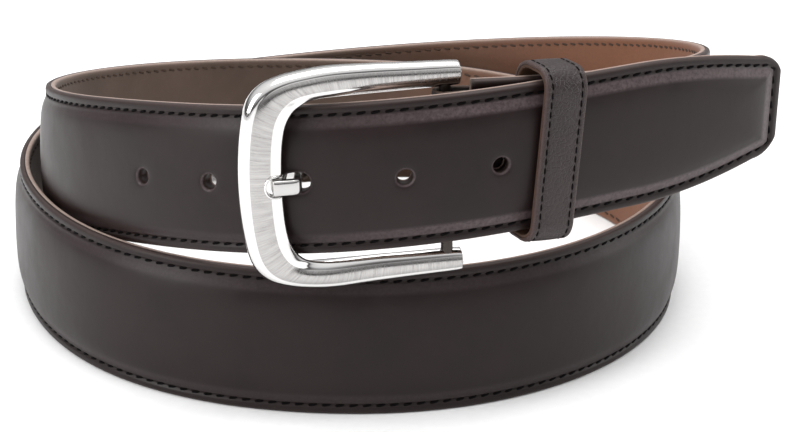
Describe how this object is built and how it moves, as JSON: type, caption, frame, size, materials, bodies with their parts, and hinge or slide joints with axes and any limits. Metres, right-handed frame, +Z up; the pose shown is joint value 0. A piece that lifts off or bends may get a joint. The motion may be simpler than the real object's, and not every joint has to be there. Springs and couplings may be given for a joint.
{
  "type": "leather belt",
  "caption": "Padded dress belt with stitched edges, pin buckle, keeper loop and squared tip, fastened and coiled in two turns.",
  "frame": {"origin": "on the floor under the middle of the whole belt", "axes": "+Z up, the buckle at the front faces -Y, the free end points to +X"},
  "size_m": [0.1988, 0.1934, 0.0865],
  "materials": {
    "face_leather": "smooth dark brown full-grain leather, satin",
    "keeper_leather": "dark brown leather with a fine printed grain",
    "lining": "matt tan-brown lining leather",
    "padding": "felted filler board, hidden between the leathers",
    "thread": "dark waxed thread",
    "frame_metal": "satin nickel with polished edges",
    "prong_metal": "polished nickel",
    "staple_metal": "plain wire"
  },
  "bodies": {
    "strap": {"strap_face_leather": "face_leather", "strap_padding": "padding", "strap_lining": "lining", "upper_face_thread": "thread", "lower_face_thread": "thread", "upper_lining_thread": "thread", "lower_lining_thread": "thread", "fold_tab": "face_leather", "fold_seam_thread": "thread"},
    "buckle": {"buckle_frame": "frame_metal", "heel_bar": "prong_metal"},
    "prong": {"prong": "prong_metal"},
    "keeper": {"keeper_face_leather": "keeper_leather", "keeper_lining": "lining", "keeper_seam_thread_a": "thread", "keeper_seam_thread_b": "thread", "keeper_staple": "staple_metal"},
    "tip": {"tip_face_leather": "face_leather", "tip_padding": "padding", "tip_lining": "lining", "tip_face_thread": "thread", "tip_lining_thread": "thread"}
  },
  "joints": [
    {"name": "buckle_swing", "type": "hinge", "parent": "strap", "child": "buckle", "pos_m": [0.01609, -0.08374, 0.0609], "axis": [-0.0386, 0.0135, 0.9992], "range_deg": [0, 1]},
    {"name": "prong_swing", "type": "hinge", "parent": "buckle", "child": "prong", "pos_m": [0.01609, -0.08374, 0.0609], "axis": [-0.0386, 0.0135, 0.9992], "range_deg": [0, 1.5]},
    {"name": "keeper_slide", "type": "hinge", "parent": "strap", "child": "keeper", "pos_m": [0.00096, -0.00475, 0.06287], "axis": [0.0571, 0.0464, 0.9973], "range_deg": [-4, 1]},
    {"name": "tip_flex", "type": "hinge", "parent": "strap", "child": "tip", "pos_m": [0.05259, -0.07542, 0.0648], "axis": [-0.0207, 0.0002, 0.9998], "range_deg": [-25, 14], "stiffness_Nm_per_rad": 0.05}
  ]
}
